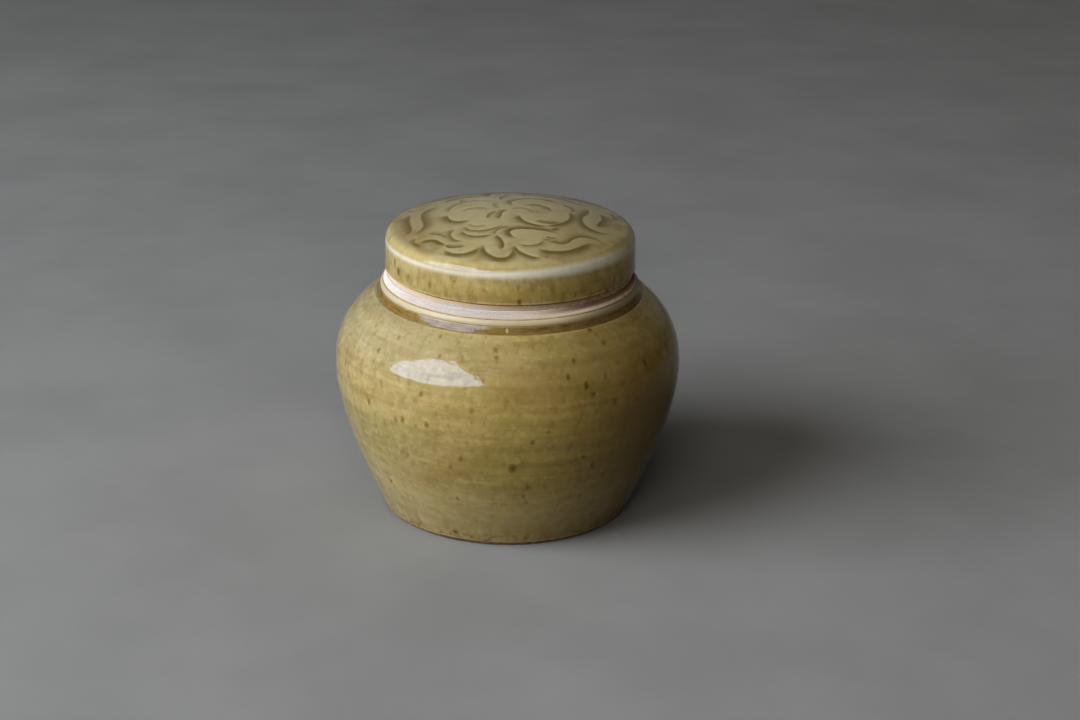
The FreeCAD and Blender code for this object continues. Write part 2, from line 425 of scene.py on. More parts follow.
# The carved scroll: what the knife passes, in millimetres from the lid's axis, +Y to the back.
# Each stroke has the side where its wall is steep, its width, its depth, and x and y of its points.
LEFT = 1
RIGHT = -1
SCROLL = [
    # Right blossom
    (RIGHT, 2.4, 0.24, [0.5, 2.6, 0.2, 5.3, 0, 8.2, 1.5, 10.6, 4.2, 12.6, 7.9, 13.5, 11.4, 11.9,
        14.6, 9]),
    (RIGHT, 2.4, 0.22, [14.6, 9.6, 17.2, 6, 17.6, 3.4, 16.6, 1.6]),
    (RIGHT, 2.6, 0.3, [16.7, 2, 17.2, -2.6, 16.3, -6.3, 14, -9.5, 10.8, -11.6, 8.5, -12.3]),
    (LEFT, 2.4, 0.28, [2, -5, 3.2, -8.7, 5.3, -11, 8.5, -12.3, 10.8, -11.6]),
    (LEFT, 2, 0.26, [4, 5, 6.9, 5.9, 9.5, 4.9, 11.1, 2.6, 11.5, 0.3]),
    (RIGHT, 2.4, 0.24, [6.7, -8.8, 9.5, -10, 12.2, -9.5, 14.2, -7.6]),
    (LEFT, 1.2, 0.08, [7.6, 2.4, 7.4, -0.2, 8.6, -3]),
    # Left blossom
    (LEFT, 2.2, 0.2, [-7.6, 10.6, -10.6, 10.9, -13.2, 10.3, -15.3, 8.2, -17, 5.3, -17.6, 2.1,
        -17.1, -0.8]),
    (LEFT, 2.8, 0.3, [-18, -1.6, -17.9, -3.9, -16.7, -6.9, -14.3, -8.4, -10.8, -7.8]),
    (LEFT, 2.2, 0.15, [-13.5, -0.4, -12.7, 1.9, -10, 2.7, -7.4, 1.9, -5.9, -0.2]),
    (RIGHT, 1.8, 0.12, [-9, 10.8, -5.8, 9.5, -4.5, 7.2]),
    (LEFT, 1.4, 0.07, [-9.5, -1.5, -9.2, -4, -10.5, -6.2]),
    # Middle
    (RIGHT, 1.8, 0.18, [-3, 7.4, -4.8, 6.3, -4.8, 3.8, -3.8, 1.9, -2.4, 2.1]),
    (RIGHT, 1.9, 0.16, [0.2, 0.6, 2.6, 1.2, 5, 0, 6.2, -3]),
    (LEFT, 2.2, 0.24, [-0.7, -0.2, -2.4, -2.7, -2.9, -5.8, -3.5, -8.8]),
    (RIGHT, 2, 0.2, [-4.1, -1.4, -6.1, -4.2, -6.6, -8]),
    (LEFT, 1.7, 0.16, [-11.9, -10.6, -10.3, -12.4, -8.5, -12.8, -6.4, -11.9]),
    (LEFT, 1.9, 0.22, [-13.2, -11.8, -11.6, -14.7, -8.5, -15.9, -5.3, -15.1, -2.6, -13.2, -2.1, -11.2]),
    (LEFT, 2, 0.24, [-13.9, -14.8, -12.4, -17.6, -10, -19, -7.4, -19.2, -4.4, -18.2]),
    (RIGHT, 1.9, 0.2, [-4.5, -18.8, -3.8, -16.2, -1.9, -14.5, 0.4, -13.6]),
    (LEFT, 2, 0.22, [-15.4, -13.2, -16.7, -15.9, -16.4, -18.2, -15.1, -20.4, -12.4, -21.8]),
    (LEFT, 1.6, 0.3, [11.2, -14.4, 12.2, -13.6, 13.3, -12.6]),
    # Bud
    (LEFT, 2.6, 0.3, [-7.4, -23.6, -7.2, -26.8, -5.9, -29.3, -3.7, -31, -1.6, -31.2, 0, -29.9,
        0.8, -27.8, 0.9, -25]),
    (LEFT, 1.9, 0.28, [-4.2, -18.8, -2.9, -20.9, -2.1, -23.3, -2.1, -25.6, -3.2, -27.2]),
    # Right leaves
    (RIGHT, 2.2, 0.3, [2.8, -20.7, 0.6, -19.9, -0.4, -17.7, 0, -16.1, 1.7, -15, 4.8, -14.7, 7.9, -14.9,
        10.8, -15.4, 13, -16.4, 13.6, -18]),
    (LEFT, 1.6, 0.2, [10, -18.6, 11.1, -19.2, 12.6, -18.8]),
    (LEFT, 1.5, 0.18, [9, -20.4, 10, -20.7, 11.2, -20.2]),
    (RIGHT, 1.7, 0.2, [9.2, -21, 8.4, -22.8, 6.6, -24.2, 4.2, -24.6, 1.9, -23.8]),
    (RIGHT, 2.2, 0.24, [8.8, -22.2, 11.6, -21.7, 14, -22, 15.9, -20.6, 16.9, -18.8, 18.5, -16.9,
        20.6, -15.9, 23.3, -16, 24.9, -16.9, 25.4, -18.3]),
    (LEFT, 2.8, 0.3, [6.8, -25.8, 9.5, -26.7, 13.2, -26.4, 16.4, -25, 19, -22.7, 20.6, -20.9,
        22.3, -19.3, 24, -19.8]),
    (LEFT, 2.3, 0.28, [0.9, -24.6, 2.1, -27.4, 4.2, -29.2, 6.6, -30.3, 9, -30.2]),
    (RIGHT, 1.8, 0.16, [8.2, -26.6, 10, -27.6, 10, -29.2, 9, -30.3]),
    # Left leaves
    (LEFT, 2.4, 0.28, [-18.2, -25, -16.6, -26.8, -14.4, -27.9, -11.9, -28, -9.5, -26.7, -7.6, -24.6]),
    (RIGHT, 1.9, 0.26, [-17.7, -22, -16.7, -23.8, -14.3, -24.3, -12, -24.2]),
    (LEFT, 2.1, 0.3, [-25, -19.2, -23.4, -18, -21.1, -18.5, -19.3, -20.6, -17.4, -22.9]),
    (RIGHT, 2, 0.2, [-23, -13.8, -20.6, -15.1, -18.5, -17.2, -16.8, -19]),
    (LEFT, 2.2, 0.2, [-26.4, -14.8, -26.7, -17.4, -25.6, -19.5, -23.9, -21]),
    # Left edge
    (RIGHT, 2.8, 0.28, [-20.4, 10.6, -23.4, 7.2, -24.9, 4.2, -25.1, 1.1, -24.6, -3.2, -24, -6.9,
        -24.7, -10, -26.4, -12.7, -28, -14.3]),
    (LEFT, 3, 0.3, [-28.9, 6, -29, 1, -28.4, -4.4, -27.9, -8.5, -28.6, -11.2, -29.3, -12.8]),
    (LEFT, 2.2, 0.16, [-29.2, 12.2, -28.6, 10.4, -26.8, 10.3, -24.6, 11.4]),
    # Right edge
    (LEFT, 2.8, 0.3, [22, 10.4, 22.3, 5.8, 21.6, 2.4, 20.5, -0.4, 20.1, -3.7, 20.6, -6.9, 22, -9.3,
        24, -10.5, 26.6, -10.6, 29, -8.6]),
    (RIGHT, 3, 0.3, [25.8, 6, 26.4, 2.6, 26.2, -0.5, 25.3, -3.7, 24.7, -6.3, 25.8, -8.2]),
    (RIGHT, 1.8, 0.16, [18.2, 1.4, 19.3, 0.3, 21, 0.6]),
    (RIGHT, 2.2, 0.18, [28.6, 10, 29.7, 6.4, 29.6, 2.8]),
    # Back
    (RIGHT, 2.4, 0.26, [-5.6, 16, -6.6, 20.5, -5, 25.5, -1.5, 28.6, 2, 27.2, 4.4, 23, 4, 18]),
    (LEFT, 1.8, 0.22, [-2.9, 10.8, -2.8, 14.5, -1.4, 18, -1.6, 21.5]),
    (LEFT, 2.2, 0.24, [-8, 24, -12, 26.4, -16.5, 25, -20, 21.5, -23.2, 19.6, -25.6, 18.6]),
    (RIGHT, 2.2, 0.24, [-7.6, 19, -11, 20.4, -15, 19.4, -18.6, 16.2, -18.6, 12.8]),
    (RIGHT, 2, 0.2, [-14.6, 15.4, -14.3, 12.8, -14.6, 10.4]),
    (RIGHT, 2.2, 0.24, [6.6, 24.8, 11, 26.8, 15.5, 25.2, 19.5, 22, 22.6, 19.4, 25.6, 17.4]),
    (LEFT, 2.2, 0.24, [6.2, 19.8, 10, 20.8, 14, 19.8, 17.6, 16.8, 20.4, 14.2, 22.8, 13.2]),
    (LEFT, 1.8, 0.2, [10.4, 15.4, 11.2, 13.4, 13, 12]),
    (LEFT, 2, 0.2, [-12, 28.6, -8.6, 30, -5, 30.4]),
    (RIGHT, 2, 0.2, [12, 28.6, 8.6, 30, 5, 30.4]),
]
steep_width = 0.7  # of a stroke's steep wall
slope_share = 1.9  # how far a stroke's long slope runs out, in widths
relief_share = 0.5  # of the knife's depth that shows through the coat, which fills the rest
deepest_cut = 0.3
shallowest_pool = 0.02  # cut that glaze begins to pool in
full_pool = 0.26
lip_off = 0.35  # of the thin edge that runs along a steep wall
lip_width = 0.65
stroke_step = 0.2
swell_in_share = 0.22  # of a stroke's length, over which the knife goes in
swell_out_share = 0.3
swell_least = 0.12
fan_share = 0.55  # of a slope's width that comes with the swell


def knife_path(points):
    """Even points of a smooth curve through a stroke's points."""
    points = np.reshape(points, (-1, 2)).astype(float)
    knots = np.concatenate([points[:1], points, points[-1:]])
    pieces = []
    for a, b, c, d in zip(knots, knots[1:], knots[2:], knots[3:]):
        count = max(2, math.ceil(np.linalg.norm(c - b) / stroke_step))
        t = np.linspace(0, 1, count, endpoint=False)[:, None]
        square, cube = 2 * a - 5 * b + 4 * c - d, 3 * b - a - 3 * c + d
        pieces.append(0.5 * (2 * b + (c - a) * t + square * t**2 + cube * t**3))
    pieces.append(knots[-1:])
    return np.concatenate(pieces)


def carved(x, y):
    """Depth of the scroll at points of the lid's crown, and the edge along each steep wall, 0 to 1."""
    depth = np.zeros_like(x)
    edge = np.zeros_like(x)
    for steep, width, deepest, points in SCROLL:
        path = knife_path(points)
        way = np.gradient(path, axis=0)
        way /= np.linalg.norm(way, axis=1)[:, None]
        reach = width * slope_share
        low, high = path.min(axis=0) - reach, path.max(axis=0) + reach
        near = np.flatnonzero((x > low[0]) & (x < high[0]) & (y > low[1]) & (y < high[1]))
        to_x = x[near][:, None] - path[:, 0]
        to_y = y[near][:, None] - path[:, 1]
        closest = np.argmin(to_x**2 + to_y**2, axis=1)
        pick = (np.arange(len(near)), closest)
        ahead = to_x[pick] * way[closest, 0] + to_y[pick] * way[closest, 1]
        aside = (to_y[pick] * way[closest, 0] - to_x[pick] * way[closest, 1]) * -steep
        along = closest / (len(path) - 1)
        swell = smoothstep(along / swell_in_share + swell_least)
        swell *= smoothstep((1 - along) / swell_out_share + swell_least)
        fan = width * (1 - fan_share + fan_share * swell)
        slope = np.clip(1 - aside / (slope_share * fan), 0, 1) ** 2
        wall = np.where(aside < 0, smoothstep(1 + aside / steep_width), slope)
        end = smoothstep(1 - np.abs(ahead) / (2 * stroke_step))
        cut = deepest * swell * wall * end
        depth[near] = np.maximum(depth[near], cut)
        lip = smoothstep(1 - np.abs(aside + steep_width + lip_off) / lip_width) * swell * end
        edge[near] = np.maximum(edge[near], lip * deepest / deepest_cut)
    return depth, edge


# The pieces of the jar
def jar_clay():
    ring_radius = foot_radius - glaze - foot_edge_round / 2
    ring_outer = at(ring_radius, 0)
    ring_inner = at(ring_radius - foot_ring_width, 0)
    recess_edge = at(ring_inner[0] - foot_recess_lean, foot_recess)
    hold = foot_edge_round / 2
    lip = [ring_outer, ring_outer + OUT * hold, clay_foot - foot_way * hold, clay_foot]
    band_top = at(clay_roll_end[0] - seat_band_lean, seat_height - seat_edge_round)
    seat_outer = at(band_top[0] - seat_edge_round, seat_height)
    seat_centre = at(seat_outer[0], band_top[1])
    rim_outer = at(neck_radius - neck_rim_round, neck_top)
    rim_inner = at(neck_bore_radius + neck_rim_round, neck_top)
    outer_centre = rim_outer - UP * neck_rim_round
    inner_centre = rim_inner - UP * neck_rim_round
    throat = at(neck_bore_radius, throat_height)
    inside = hollow(0, hidden_step)[::-1]
    outline = joined(
        line(at(0, foot_recess), recess_edge),
        line(recess_edge, ring_inner, edge_step * 2),
        line(ring_inner, ring_outer),
        bezier(lip, edge_step),
        jar_skin(hidden_step),
        line(clay_roll_end, band_top, edge_step * 2),
        arc(band_top, seat_centre + heading(45) * seat_edge_round, seat_outer, edge_step / 2),
        line(seat_outer, at(neck_radius, seat_height)),
        line(at(neck_radius, seat_height), at(neck_radius, outer_centre[1])),
        arc(at(neck_radius, outer_centre[1]), outer_centre + heading(45) * neck_rim_round, rim_outer),
        line(rim_outer, rim_inner),
        arc(rim_inner, inner_centre + heading(135) * neck_rim_round, at(neck_bore_radius, inner_centre[1])),
        line(at(neck_bore_radius, inner_centre[1]), throat),
        inside,
    )
    return turned("jar_clay", outline, clay_sides, over_foot)


def jar_glaze():
    flank_way = (roll_foot - crease) / np.linalg.norm(roll_foot - crease)
    flank_hold = flank_hold_share * np.linalg.norm(roll_foot - crease)
    flank_low = heading(90 + flank_low_facing) * flank_hold
    flank_high = heading(90 + flank_high_facing) * flank_hold
    lip_end = crease + OUT * pool_round
    flank_start = crease + flank_way * pool_round
    shown = joined(
        bezier(wall_poles),
        bezier(shoulder_poles),
        bezier([ridge, ridge + ridge_way * lip_hold, lip_end + OUT * lip_hold, lip_end], edge_step),
        bezier([lip_end, crease, crease, flank_start], edge_step / 2),
        bezier([flank_start, flank_start + flank_low, roll_foot - flank_high, roll_foot], edge_step),
        arc(roll_foot, roll_top, roll_end),
        line(roll_end, clay_roll_end, edge_step),
    )
    outline = joined(shown, jar_skin(hidden_step)[::-1])
    radius, height = outline.T
    # Glaze that pooled on the flank, and glaze that ran off the roll and the ridge
    pooled = smoothstep((crease[0] + 0.14 - radius) / 0.12) * smoothstep((roll_foot[1] - height) / 0.55)
    off_roll = smoothstep((height - roll_foot[1]) / 0.4)
    off_ridge = 0.28 * smoothstep(1 - np.abs(radius - ridge[0]) / 1.6)
    pool = np.where(height > crease[1] - 0.3, pooled - off_roll - off_ridge * (pooled == 0), 0)
    pool[len(shown):] = 0

    def worn(radii, heights, turns):
        radii, heights = thrown(radii, heights, turns)
        foot = smoothstep(1 - (heights - foot_bare_height) / jar_lift_reach)
        lift = coat_edge_lift * wavering(turns, 3) * foot
        return radii + lift * math.tan(math.radians(foot_flare_degrees)), heights + lift

    return turned("jar_glaze", outline, jar_sides, over_foot, worn, pool)


def jar_inside_glaze():
    clay = hollow(0, hidden_step)
    coat = hollow(glaze)
    clay_end = at(neck_bore_radius, neck_coat_end)
    coat_end = at(neck_bore_radius - glaze, neck_coat_end - glaze)
    outline = joined(
        clay,
        line(clay[-1], clay_end),
        line(clay_end, coat_end, edge_step),
        line(coat_end, coat[-1]),
        coat[::-1],
    )
    return turned("jar_inside_glaze", outline, clay_sides, over_foot)


# The pieces of the lid
skirt_radius = lid_radius - lid_taper
coat_crown = crown(skirt_radius, lid_edge_round, lid_dome_radius, lid_top)
clay_crown = crown(skirt_radius - glaze, lid_edge_round - glaze, lid_dome_radius - glaze, lid_top - glaze)
ceiling_dome = lid_dome_radius - glaze - lid_crown_wall
clay_ceiling = crown(lid_bore_radius, lid_ceiling_round, ceiling_dome, ceiling_top)
coat_ceiling = crown(
    lid_bore_radius - glaze, lid_ceiling_round - glaze, ceiling_dome - glaze, ceiling_top - glaze
)
coat_foot = at(lid_radius, lid_glaze_height + glaze)
skirt_foot = at(lid_radius - glaze, lid_glaze_height)


def lid_clay():
    bevel_foot = at(skirt_foot[0] - lid_bevel_lean, seat_height + lid_foot_round)
    rest_outer = at(bevel_foot[0] - lid_foot_round, seat_height)
    round_centre = at(rest_outer[0], bevel_foot[1])
    rest_inner = at(lid_bore_radius + lid_lead_in, seat_height)
    lead_top = at(lid_bore_radius, seat_height + lid_lead_in)
    outline = joined(
        crown_line(clay_ceiling, edge_step, hidden_step)[::-1],
        line(clay_ceiling[0], lead_top),
        line(lead_top, rest_inner),
        line(rest_inner, rest_outer),
        arc(rest_outer, round_centre + heading(-45) * lid_foot_round, bevel_foot, edge_step / 2),
        line(bevel_foot, skirt_foot, edge_step * 2),
        line(skirt_foot, clay_crown[0], hidden_step),
        crown_line(clay_crown, edge_step, hidden_step),
    )
    return turned("lid_clay", outline, clay_sides, over_seat)


def crown_grid(cells, radius):
    """A square grid spread over a disc, and its rim's vertex numbers in order."""
    steps = np.linspace(-1, 1, cells + 1)
    across, up = np.meshgrid(steps, steps)
    wide = np.abs(across) > np.abs(up)
    reach = np.where(wide, across, up)
    safe = np.where(reach == 0, 1, reach)
    turn = np.where(wide, math.pi / 4 * up / safe, math.pi / 2 - math.pi / 4 * across / safe)
    x, y = radius * reach * np.cos(turn), radius * reach * np.sin(turn)
    number = np.arange((cells + 1) ** 2).reshape(cells + 1, cells + 1)
    squares = np.stack([number[:-1, :-1], number[:-1, 1:], number[1:, 1:], number[1:, :-1]], axis=-1)
    rim = np.concatenate([number[0, :-1], number[:-1, -1], number[-1, :0:-1], number[:0:-1, 0]])
    return x.ravel(), y.ravel(), squares.reshape(-1, 4), rim


def lid_glaze():
    edge_start, edge_middle, edge_end, dome_centre = coat_crown
    x, y, squares, rim = crown_grid(crown_cells, edge_end[0])
    depth, edges = carved(x, y)
    z = dome_centre[1] + np.sqrt(lid_dome_radius**2 - x**2 - y**2) - depth * relief_share
    turns = np.arctan2(y[rim], x[rim])
    edge = arc(edge_end, edge_middle, edge_start, edge_step * 2)
    outline = joined(
        edge,
        line(edge_start, coat_foot),
        line(coat_foot, skirt_foot, edge_step),
        line(skirt_foot, clay_crown[0], hidden_step),
        crown_line(clay_crown, hidden_step / 2, hidden_step * 4),
    )[1:]
    points = [np.stack([x, y, z], axis=1)]
    rows = [rim]
    pool = [np.where(depth > shallowest_pool, depth / full_pool, -edges)]
    count = len(x)
    lift = coat_edge_lift * wavering(turns, 11)
    for radius, height in outline:
        size = 1 if radius == 0 else len(turns)
        raised = height + lift * smoothstep(1 - (height - lid_glaze_height) / lid_lift_reach)
        ring = np.stack([radius * np.cos(turns), radius * np.sin(turns), raised], axis=1)
        points.append(ring[:size])
        rows.append(np.arange(count, count + size))
        pool.append(np.zeros(size))
        count += size
    points = np.concatenate(points)
    points[:, 0] += lid_shift
    faces = [tuple(square) for square in squares] + ring_faces(rows)
    return finished("lid_glaze", points, faces, np.concatenate(pool))


def lid_inside_glaze():
    outline = joined(
        crown_line(clay_ceiling, hidden_step / 2, hidden_step)[::-1],
        line(clay_ceiling[0], coat_ceiling[0], edge_step),
        crown_line(coat_ceiling),
    )
    return turned("lid_inside_glaze", outline, clay_sides, over_seat)


# Places on the jar for the specks that show in the photograph
def on_jar(degrees, height):
    """Point of the jar's coat at a turn from +X and a height."""
    outline = joined(bezier(wall_poles), bezier(shoulder_poles), line(crease, roll_foot))
    radius = np.interp(height, outline[:, 1], outline[:, 0])
    turn = math.radians(degrees)
    return (radius * math.cos(turn) + float(over_foot(height)), radius * math.sin(turn), height)


def on_skirt(degrees, height):
    """Point of the lid's skirt at a turn from +X and a height."""
    turn = math.radians(degrees)
    return (lid_shift + lid_radius * math.cos(turn), lid_radius * math.sin(turn), height)


# Turn in degrees, height, half width, how many times as tall as wide, and strength of each speck
JAR_SPECKS = [
    (-64, 51.7, 0.5, 2, 1), (-88, 28.7, 0.8, 1.3, 0.9), (-139, 15.9, 0.38, 1.4, 1),
    (-67, 58, 0.42, 2.2, 0.7), (-70, 54.5, 0.4, 2.2, 0.8), (-62, 49.1, 0.5, 1.3, 0.7),
    (-82, 37, 0.45, 1.3, 0.6), (-64, 30.3, 0.45, 1.2, 0.8), (-60, 26.9, 0.5, 1.5, 0.7),
    (-38, 53.1, 0.45, 4, 0.7), (-53, 60.5, 0.5, 1.5, 0.6), (-77, 39.9, 0.4, 1.3, 0.5),
    (-84, 18.7, 0.4, 1.3, 0.6), (-95, 61.1, 0.6, 1.2, 0.6), (-140, 41.6, 0.42, 2.2, 0.7),
    (-118, 48.8, 0.48, 1.5, 0.6), (-125, 39.9, 0.48, 1.5, 0.7), (-116, 40.2, 0.5, 1.4, 0.6),
    (-105, 31, 0.4, 2, 0.6), (-109, 27.5, 0.55, 1.3, 0.5), (-101, 46.1, 0.6, 1.2, 0.4),
    (-125, 28.7, 0.45, 1.4, 0.4), (-108, 16.6, 0.4, 1.5, 0.5), (-112, 3.5, 0.6, 0.8, 0.9),
    (-140, 56, 0.45, 1.5, 0.6), (-120, 39, 0.35, 1.5, 0.4), (-54, 45.6, 0.6, 1.5, 0.5),
    (-56, 63.6, 0.55, 0.9, 0.9), (25, 40, 0.5, 1.5, 0.8), (70, 52, 0.5, 1.8, 0.8),
    (110, 33, 0.6, 1.3, 0.8), (150, 47, 0.5, 1.5, 0.8), (-170, 27, 0.5, 1.5, 0.7),
    (-10, 31, 0.6, 1.4, 0.8), (48, 22, 0.45, 1.4, 0.8), (88, 44, 0.4, 2, 0.7), (132, 57, 0.45, 1.5, 0.7),
    (175, 38, 0.45, 1.8, 0.7), (5, 55, 0.45, 1.8, 0.7), (62, 12, 0.5, 1.2, 0.7),
]
SKIRT_SPECKS = [
    (-150, 74.9, 0.55, 1.4, 1), (-154, 76.8, 0.4, 2, 0.7), (-115, 77, 0.35, 1.5, 0.5),
    (-86, 72.7, 0.5, 1.1, 0.9), (-42, 71.9, 0.5, 1.2, 0.6), (-60, 73.4, 0.35, 1.5, 0.5),
    (20, 74, 0.45, 1.5, 0.8), (95, 75.5, 0.45, 1.5, 0.8), (160, 73, 0.4, 1.5, 0.7),
]
# Broad soft stains of the jar: turn, height, half width, tall, strength
JAR_STAINS = [
    (-96, 34.7, 1.6, 0.5, 0.35), (-41, 53, 9, 1, 0.6), (-60, 58, 7, 0.8, 0.4), (-63, 50.7, 1, 0.8, 0.45),
    (-82, 54, 9, 0.45, 0.35), (-104, 29, 6, 0.5, 0.3), (-118, 22, 7, 0.5, 0.25), (-20, 40, 9, 1.2, 0.4),
    (60, 50, 8, 0.8, 0.5), (120, 30, 8, 0.7, 0.4), (170, 50, 7, 0.8, 0.4), (20, 22, 7, 0.7, 0.4),
]


# Materials
class Look:
    """The nodes of one material, its colour so far, and the place and its X and Z in millimetres."""

    def __init__(self, name):
        self.material = bpy.data.materials.new(name)
        self.material.use_nodes = True
        self.tree = self.material.node_tree
        self.tree.nodes.clear()
        place = self.add("ShaderNodeTexCoord", {}, "Object")
        self.place = self.add("ShaderNodeVectorMath", {0: place, "Scale": 1 / MM}, operation="SCALE")
        self.x, _, self.z = self.parts(self.place)

    def add(self, kind, inputs, output=0, **settings):
        made = self.tree.nodes.new(kind)
        for key, value in settings.items():
            setattr(made, key, value)
        for key, value in inputs.items():
            if isinstance(value, bpy.types.NodeSocket):
                self.tree.links.new(value, made.inputs[key])
            else:
                made.inputs[key].default_value = value
        return made.outputs[output]

    def vector(self, operation, a, b):
        return self.add("ShaderNodeVectorMath", {0: a, 1: b}, operation=operation)

    def parts(self, vector):
        return self.add("ShaderNodeSeparateXYZ", {0: vector}).node.outputs

    def stretched(self, x, y, z):
        """The place, with each axis scaled: a small number draws the pattern out along that axis."""
        return self.vector("MULTIPLY", self.place, (x, y, z))

    def moved(self, x, y, z):
        return self.vector("ADD", self.place, (x, y, z))

    def noise(self, size, detail=2, roughness=0.55, where=None, output=0):
        where = self.place if where is None else where
        inputs = {"Vector": where, "Scale": 1 / size, "Detail": detail, "Roughness": roughness}
        return self.add("ShaderNodeTexNoise", inputs, output)

    def ragged(self, size, reach):
        """The place, pushed about by up to so much, so that what is drawn with it has a torn edge."""
        push = self.noise(size, 3, 0.7, output="Color")
        centred = self.vector("SUBTRACT", push, (0.5, 0.5, 0.5))
        return self.vector("ADD", self.place, self.vector("MULTIPLY", centred, (2 * reach,) * 3))

    def spread(self, value, low, high, to_low=0.0, to_high=1.0):
        """A smooth step of a value from one range to another."""
        inputs = {0: value, 1: low, 2: high, 3: to_low, 4: to_high}
        return self.add("ShaderNodeMapRange", inputs, interpolation_type="SMOOTHSTEP")

    def band(self, value, low, high, soft):
        """1 between two values, and 0 outside them."""
        rise = self.spread(value, low - soft, low + soft)
        fall = self.spread(value, high - soft, high + soft, 1, 0)
        return self.times(rise, fall)

    def math(self, operation, a, b=0.0):
        return self.add("ShaderNodeMath", {0: a, 1: b}, operation=operation)

    def times(self, *factors):
        product = factors[0]
        for factor in factors[1:]:
            product = self.math("MULTIPLY", product, factor)
        return product

    def laid(self, under, over, *factors):
        """A colour laid over another, as thick as the product of the factors."""
        inputs = {0: self.times(*factors), 6: rgba(under), 7: rgba(over)}
        return self.add("ShaderNodeMix", inputs, 2, data_type="RGBA")

    def toned(self, colour, *tones):
        """A colour with its lightness multiplied."""
        inputs = {0: colour, "Scale": self.times(*tones)}
        return self.add("ShaderNodeVectorMath", inputs, operation="SCALE")

    def lay(self, over, *factors):
        self.colour = self.laid(self.colour, over, *factors)

    def tint(self, tint, *factors):
        """Multiplies the colour by a tint, as far as the factors say."""
        self.lay(self.vector("MULTIPLY", self.colour, tint), *factors)

    def spot(self, place, centre, half_width, tall):
        """1 at a place on the surface, falling to 0 a little beyond twice its half width."""
        inward = 0.42 / half_width
        away = self.vector("SUBTRACT", place, centre)
        scaled = self.vector("MULTIPLY", away, (inward, inward, inward / tall))
        far = self.add("ShaderNodeVectorMath", {0: scaled}, 1, operation="LENGTH")
        return self.spread(far, 0, 1, 1, 0)

    def specks(self, place, cell, radius, share):
        """Scattered specks: the size of the cells that hold one each, and how many have one."""
        cells = self.add("ShaderNodeTexVoronoi", {"Vector": place, "Scale": 1 / cell}).node.outputs
        chosen = self.spread(self.parts(cells["Color"])[0], 1 - share, 1 - share + 0.15)
        return self.times(self.spread(cells["Distance"], 0, radius / cell, 1, 0), chosen)

    def attribute(self, name):
        return self.add("ShaderNodeAttribute", {}, "Fac", attribute_name=name, attribute_type="GEOMETRY")

    def bumped(self, height, size, normal=None):
        inputs = {"Height": height, "Distance": size * MM, "Strength": 1.0}
        if normal is not None:
            inputs["Normal"] = normal
        return self.add("ShaderNodeBump", inputs)

    def output(self, shader):
        end = self.tree.nodes.new("ShaderNodeOutputMaterial")
        self.tree.links.new(shader, end.inputs["Surface"])
        return self.material

    def finish(self, roughness, normal, ior, chalky=0.0):
        inputs = {"Base Color": self.colour, "Roughness": roughness, "Normal": normal, "IOR": ior}
        inputs["Diffuse Roughness"] = chalky
        return self.output(self.add("ShaderNodeBsdfPrincipled", inputs))


glaze_ior = 1.42
clay_ior = 1.45


def rgba(colour):
    return colour if isinstance(colour, bpy.types.NodeSocket) else (*colour, 1.0)


# Colours of the glaze
OLIVE = (0.288, 0.242, 0.108)
TAN = (0.322, 0.262, 0.130)
PALE_AND_HIGHLIGHT = (0.440, 0.380, 0.225)
BLOOM = (0.345, 0.305, 0.205)
GREY_OLIVE = (0.390, 0.355, 0.220)
AMBER = (0.235, 0.150, 0.052)
MOTTLE = (0.175, 0.122, 0.042)
DEEP_AND_SHADE = (0.130, 0.090, 0.026)
GROOVE = (0.118, 0.092, 0.026)
BROWN = (0.070, 0.040, 0.010)
THIN_AND_GLINT = (0.440, 0.385, 0.285)
RIM_PALE_AND_SHEEN = (0.540, 0.525, 0.445)
RUST = (0.180, 0.075, 0.040)
EDGE = (0.190, 0.130, 0.045)
FLANK_LEFT = (0.210, 0.145, 0.050)
FLANK_RIGHT = (0.200, 0.145, 0.066)
# Colours of the clay
CLAY = (0.510, 0.488, 0.460)
CLAY_PINK = (0.525, 0.462, 0.420)
CLAY_PAINTED_LIGHT = (0.730, 0.620, 0.510)
TAN_FLASH = (0.540, 0.410, 0.250)
FLUSH_AND_SHADE = (0.190, 0.105, 0.048)
TOASTED_AND_SHADED = (0.150, 0.100, 0.055)
SHADE = (0.120, 0.070, 0.034)


def glaze_ground(look):
    """Celadon ground: slow patches, throwing bands, amber mottle, soft specks and fine grain."""
    clouds = look.noise(5.0, 4, 0.6, look.stretched(0.6, 0.6, 1))
    mottle = look.noise(2.3, 3, 0.5, look.stretched(1, 1, 0.65))
    milk = look.noise(2.0, 2, 0.5, look.moved(7, 31, 12))
    blots = look.noise(3.0, where=look.moved(40, 3, 21))
    bands = look.noise(2.6, where=look.stretched(0.05, 0.05, 1))
    look.colour = look.laid(OLIVE, TAN, look.spread(look.noise(11.0, 3), 0.38, 0.62))
    look.lay(AMBER, look.spread(clouds, 0.48, 0.74, 0, 0.27))
    look.lay(MOTTLE, look.spread(mottle, 0.50, 0.74, 0, 0.36))
    look.lay(PALE_AND_HIGHLIGHT, look.spread(milk, 0.48, 0.70, 0, 0.26))
    look.lay(AMBER, look.spread(blots, 0.58, 0.72, 0, 0.26))
    fine = look.spread(look.noise(0.35), 0.3, 0.7, 0.97, 1.03)
    look.colour = look.toned(look.colour, look.spread(bands, 0.3, 0.7, 0.91, 1.09), fine)
    # Painted light: warmer and less blue towards the front and right, standing in for the warm light on the
    # jar's shaded side
    look.tint((1.02, 0.97, 0.72), look.spread(look.x, -40, 20))
    place = look.vector("MULTIPLY", look.ragged(0.8, 0.45), (1, 1, 0.55))
    look.lay(AMBER, look.specks(place, 3.0, 1.3, 0.3), 0.5)
    look.lay(BROWN, look.specks(place, 3.0, 0.8, 0.3), 0.4)


